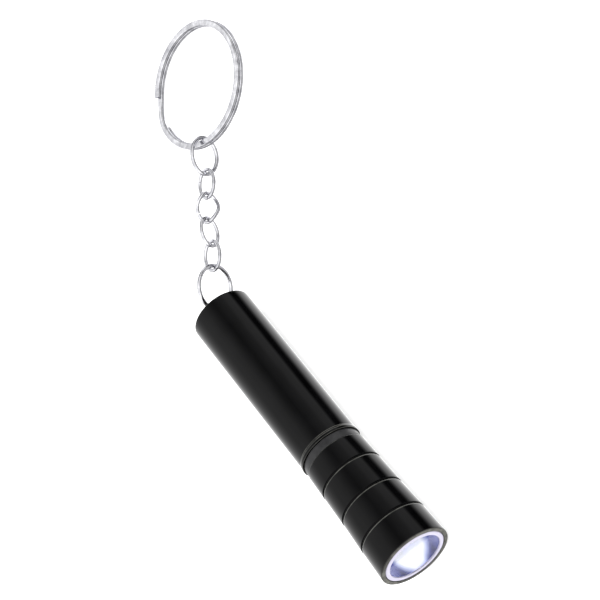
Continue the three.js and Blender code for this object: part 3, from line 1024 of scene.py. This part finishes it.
def lamp_bulb():
    """A flange, a straight barrel and a half-round dome."""
    flange = LAMP_REAR + LAMP_FLANGE_THICKNESS
    dome = LAMP_REAR + LAMP_LENGTH - LAMP_RADIUS
    rows = softened([
        (LAMP_REAR, 0), (LAMP_REAR, LAMP_FLANGE_RADIUS, 0.12), (flange, LAMP_FLANGE_RADIUS, 0.15),
        (flange, LAMP_RADIUS + 0.02, 0.1), (dome, LAMP_RADIUS),
    ], steps=4)
    steps = 18
    for i in range(1, steps + 1):
        angle = math.radians(90 - 90 * i / steps)
        radius = LAMP_RADIUS * math.sin(angle) if i < steps else 0
        rows.append((dome + LAMP_RADIUS * math.cos(angle), radius, 0.0))
    return turned("lamp_bulb", rows, sides=SMALL_SIDES)


def lamp_leg(name, side):
    """A square lead with a solder fillet where it meets the board."""
    low, high = BOARD_FRONT + FIT, LAMP_REAR - SLIP
    offset = side * LEAD_SPACING / 2
    path = [Vector((lerp(low, high, i / 12), 0, offset)) for i in range(13)]
    a, b = LEAD_RADIUS, LEAD_RADIUS * 0.7
    section = [(a, b), (b, a), (-b, a), (-a, b), (-a, -b), (-b, -a), (b, -a), (a, -b)]
    leg = swept(name, path, section, TORCH, round_ends=0.04)
    foot, height, steps = low - 0.04, 0.9, 6
    rows = [(foot, 0, 0.0)]
    for i in range(steps + 1):
        t = i / steps
        rows.append((foot + height * t, 0.26 + 0.42 * (1 - t) ** 2.2, 0.0))
    rows.append((low + 0.88, 0, 0.0))
    blob = turned(name + "_solder", rows, sides=32, about=(0, offset))
    return leg, blob


def bowl():
    """A parabola inside, a straight cone outside, a flange in front and a pocket for the lamp's."""
    growth = (BOWL_FRONT_RADIUS ** 2 - BOWL_REAR_RADIUS ** 2) / (BOWL_FRONT - BOWL_REAR)
    rear, pocket_front = LAMP_REAR + SLIP, LAMP_REAR + LAMP_FLANGE_THICKNESS + SLIP
    pocket = LAMP_FLANGE_RADIUS + FIT
    neck, flange_rear, lip = 4.2, BOWL_FRONT - FLANGE_THICKNESS, BOWL_FRONT - 0.05
    steps = 44
    inside = []
    for i in range(steps + 1):
        station = lerp(lip, BOWL_REAR, (i / steps) ** 1.4)
        radius = math.sqrt(BOWL_REAR_RADIUS ** 2 + growth * (station - BOWL_REAR))
        inside.append((station, radius, 0.0))
    outside = softened([
        (rear, pocket), (rear, neck, 0.1), (BOWL_REAR, neck, 0.3), (flange_rear - 0.1, 6.0, 0.1),
        (flange_rear, FLANGE_RADIUS, 0.05), (BOWL_FRONT, FLANGE_RADIUS, 0.08),
        (BOWL_FRONT, BOWL_FRONT_RADIUS + 0.06, 0.05), (lip, BOWL_FRONT_RADIUS),
    ])
    tail = [(pocket_front, BOWL_REAR_RADIUS, 0.0), (pocket_front, pocket, 0.0)]
    rows = outside + inside + tail
    rows.append(rows[0])
    return turned("reflector_bowl", rows)


def lens_disc():
    rear = BOWL_FRONT + SLIP
    front = rear + LENS_THICKNESS
    return turned("lens_disc", softened([
        (rear, 0), (rear, FLANGE_RADIUS, 0.06), (front, FLANGE_RADIUS, 0.1), (front, 0),
    ], steps=4))


# ---------------------------------------------------------------- the chain and its rings

def placed(start, distance, heading, fall, roll):
    """A chain member's place in the CAD's frame, and the direction that it runs in."""
    turn = (
        Matrix.Rotation(math.radians(heading), 3, "Z")
        @ Matrix.Rotation(math.radians(fall), 3, "Y")
        @ Matrix.Rotation(math.radians(roll), 3, "X")
    )
    along = turn @ Vector((1, 0, 0))
    middle = start + along * distance
    return TORCH @ Matrix.Translation(middle * MM) @ turn.to_4x4(), along


def cut_oval(half_length, half_width, twist, cut):
    """An open oval in the XY plane, its far end twisted against its near end."""
    gap = CUT_GAP / half_width
    steps = 120
    path = []
    for i in range(steps + 1):
        angle = math.radians(cut) + gap / 2 + i / steps * (2 * math.pi - gap)
        along, side = half_length * math.cos(angle), half_width * math.sin(angle)
        turn = math.radians(twist) / 2 * math.cos(angle)
        path.append(Vector((along, side * math.cos(turn), side * math.sin(turn))))
    return path


def chain_members():
    """Each member's name and piece, every one starting where the one before it ends."""
    start = CHAIN_START
    for m in CHAIN:
        place, along = placed(start, m.span / 2, m.heading, m.fall, m.roll)
        path = cut_oval((m.span + m.wire + WIRE_GAP) / 2, m.half_width, m.twist, m.cut)
        section = circle(m.wire / 2, 20)
        yield m.name, swept(m.name + "_wire", path, section, place, round_ends=0.08)
        start = start + along * m.span
    yield "split_ring", split_ring(start)


def rounded_strip(width, thickness, corner):
    steps = 3
    points = []
    for sx, sy, first in ((1, 1, 0), (-1, 1, 90), (-1, -1, 180), (1, -1, 270)):
        for i in range(steps + 1):
            angle = math.radians(first + 90 * i / steps)
            points.append((
                sx * (width / 2 - corner) + corner * math.cos(angle),
                sy * (thickness / 2 - corner) + corner * math.sin(angle),
            ))
    return points


def split_ring(start):
    """A flat strip in two turns, with the step where it crosses from one to the other."""
    radius = KEY_RING_RADIUS - STRIP_WIDTH / 2
    reach = KEY_RING_RADIUS - STRIP_WIDTH - WIRE_GAP / 2 - KEY_RING_SLACK
    place, _ = placed(start, reach, *KEY_RING_TURN)
    steps = 300
    path, normals = [], []
    for i in range(steps + 1):
        angle = i / steps * (720 - STEP_ANGLE)
        rise = smoothstep(angle, 360 - STEP_ANGLE, 360) - 0.5
        turn = math.radians(STEP_START + STEP_ANGLE + angle)
        out = Vector((math.cos(turn), math.sin(turn), 0))
        path.append(out * radius + Vector((0, 0, rise * (STRIP_THICKNESS + STRIP_GAP))))
        normals.append(out)
    section = rounded_strip(STRIP_WIDTH, STRIP_THICKNESS, STRIP_CORNER)
    return swept("split_ring_coil", path, section, place, normals, 0.12)


# ---------------------------------------------------------------- put together

stands_for(barrel(), "barrel", "black_metal")
stands_for(tail_cap(), "tail_plug", "black_metal")
stands_for(battery_spring(), "tail_spring", "steel")
stands_for(o_ring(), "seal_ring", "seal_rubber")
stands_for(neck_collar(), "neck_ring", "neck_plastic")
stands_for(cell_body(), "cell_can", "cell_wrap")
stands_for(cell_gasket(), "cell_seal", "cell_seal_plastic")
stands_for(cell_button(), "cell_nub", "steel")
stands_for(head_housing(), "head_shell", "black_metal")
stands_for(earth_ring(), "ground_ring", "contact_brass")
stands_for(plus_button(), "plus_contact", "contact_brass")
stands_for(board(), "board", "board_laminate")
for pad in board_pads():
    rides_with(pad, "board", SOLDER)
core, winding = coil_parts()
stands_for(core, "coil", "coil_core")
rides_with(winding, "coil", COPPER)
chip, legs = chip_parts()
stands_for(chip, "driver_chip", "chip_plastic")
rides_with(legs, "driver_chip", SOLDER)
stands_for(lamp_seat(), "lamp_holder", "holder_plastic")
bulb = lamp_bulb()
bulb.visible_diffuse = False
stands_for(bulb, "lamp", "lamp_epoxy")
for lead, side in (("lamp_lead_plus", 1), ("lamp_lead_minus", -1)):
    leg, blob = lamp_leg(lead + "_leg", side)
    stands_for(leg, lead, "steel")
    rides_with(blob, lead, SOLDER)
stands_for(bowl(), "reflector", "reflector_silver")
stands_for(lens_disc(), "lens", "lens_clear")
for member, wire_piece in chain_members():
    stands_for(wire_piece, member, "bright_chrome")


# ---------------------------------------------------------------- floor, light and camera

FLOOR_RADIUS = 2.5
FLOOR_DROP = 0.05 * MM


def floor():
    """Plain pale paper, lit a little from below, just under what stands on it."""
    work = bmesh.new()
    bmesh.ops.create_circle(work, cap_ends=True, segments=96, radius=FLOOR_RADIUS)
    mesh = bpy.data.meshes.new("floor")
    work.to_mesh(mesh)
    work.free()
    made = bpy.data.objects.new("floor", mesh)
    made.location.z = -FLOOR_DROP
    bpy.context.scene.collection.objects.link(made)
    material, tree = new_material("floor_paper")
    grain = noise(tree, 0.5, detail=2)
    paper = ramp(tree, grain, (0.3, 0.87), (0.7, 0.89))
    finished(tree, Base_Color=paper, Roughness=0.9, Emission_Color=paper, Emission_Strength=0.5)
    mesh.materials.append(material)
    made.visible_glossy = False


KEY_PLACE = Vector((0.1, 0.5, 1.1))
KEY_SIZE = 0.8
KEY_POWER = 6


def key_light():
    """A soft disc light that looks at the frame's origin and isn't seen in reflections."""
    data = bpy.data.lights.new("key", "AREA")
    data.shape = "DISK"
    data.size = KEY_SIZE
    data.energy = KEY_POWER
    light = bpy.data.objects.new("key", data)
    light.location = KEY_PLACE
    light.rotation_mode = "QUATERNION"
    light.rotation_quaternion = KEY_PLACE.to_track_quat("Z", "Y")
    light.visible_glossy = False
    bpy.context.scene.collection.objects.link(light)


# How bright the tent is round the torch's axis, by degrees from +Y over the top.
AROUND = (
    (-180, 1.6), (-158, 1.8), (-120, 2.1), (-70, 2.4), (-54, 2.1), (-46, 1.0), (-39, 0.2),
    (-34, 0.0), (-19, 0.0), (-14, 0.4), (-8, 1.1), (12, 1.1), (24, 0.75), (40, 0.55), (58, 0.28),
    (70, 0.45), (84, 0.8), (100, 1.15), (120, 1.2), (135, 1.05), (148, 1.15), (165, 1.35),
    (180, 1.6),
)
# How bright it is ahead of the torch, by height from -1 to 1: white over grey, with a dark line.
AHEAD = (
    (-1.0, 0.8), (-0.25, 0.5), (-0.08, 0.05), (0.05, 0.08), (0.2, 0.9), (0.45, 1.6), (1.0, 1.4),
)
AHEAD_START, AHEAD_FULL = -0.4, -0.05
TENT_PEAK = 2.4
PLAIN_LIGHT = 1.5
WHITE = (1, 1, 1, 1)


def studio():
    """Plain white light all round. Reflections see a tent of white cloth with a dark gap along one
    side and a dim top."""
    world = bpy.data.worlds.new("studio")
    bpy.context.scene.world = world
    world.cycles.sampling_method = "NONE"
    world.use_nodes = True
    tree = world.node_tree
    tree.nodes.clear()
    way = node(tree, "SeparateXYZ", {0: node(tree, "TexCoord").outputs["Generated"]})
    angle = maths(tree, "ARCTAN2", way.outputs["Z"], way.outputs["Y"])
    place = ranged(tree, angle, 0, 1, -math.pi, math.pi)
    around = ramp(tree, place, *[((a + 180) / 360, b / TENT_PEAK) for a, b in AROUND])
    height = ranged(tree, way.outputs["Z"], 0, 1, -1, 1)
    ahead = ramp(tree, height, *[((z + 1) / 2, b / TENT_PEAK) for z, b in AHEAD])
    share = ranged(tree, way.outputs["X"], 0, 1, AHEAD_START, AHEAD_FULL)
    tent = mixed(tree, share, around, ahead)
    mirrored = node(tree, "Background", {"Color": tent, "Strength": TENT_PEAK})
    plain = node(tree, "Background", {"Color": WHITE, "Strength": PLAIN_LIGHT})
    backdrop = node(tree, "Background", {"Color": WHITE, "Strength": 1.0})
    path = node(tree, "LightPath")
    both = node(tree, "MixShader", {
        0: path.outputs["Is Glossy Ray"], 1: plain.outputs[0], 2: mirrored.outputs[0]})
    out = node(tree, "MixShader", {
        0: path.outputs["Is Camera Ray"], 1: both.outputs[0], 2: backdrop.outputs[0]})
    tree.links.new(out.outputs[0], node(tree, "OutputWorld").inputs["Surface"])


# The camera, in millimetres from the torch's tail: its place, its right and the way behind it.
CAMERA_FROM_TORCH = Vector((229.6, 191.9, 285.5))
CAMERA_RIGHT = Vector((0.539, 0.475, -0.696))
CAMERA_BACK = Vector((0.539, 0.440, 0.718))
CAMERA_ANGLE = 17.3245


def camera():
    data = bpy.data.cameras.new("camera")
    data.sensor_fit = "AUTO"
    data.angle = math.radians(CAMERA_ANGLE)
    data.clip_start = 0.01
    data.clip_end = 20
    made = bpy.data.objects.new("camera", data)
    bpy.context.scene.collection.objects.link(made)
    back = CAMERA_BACK.normalized()
    right = (CAMERA_RIGHT - back * CAMERA_RIGHT.dot(back)).normalized()
    up = back.cross(right)
    turn = Matrix((right, up, back)).transposed()
    made.matrix_world = TORCH @ Matrix.Translation(CAMERA_FROM_TORCH * MM) @ turn.to_4x4()
    bpy.context.scene.camera = made


floor()
studio()
key_light()
camera()
bpy.context.scene.view_settings.view_transform = "Standard"

bpy.context.view_layer.update()
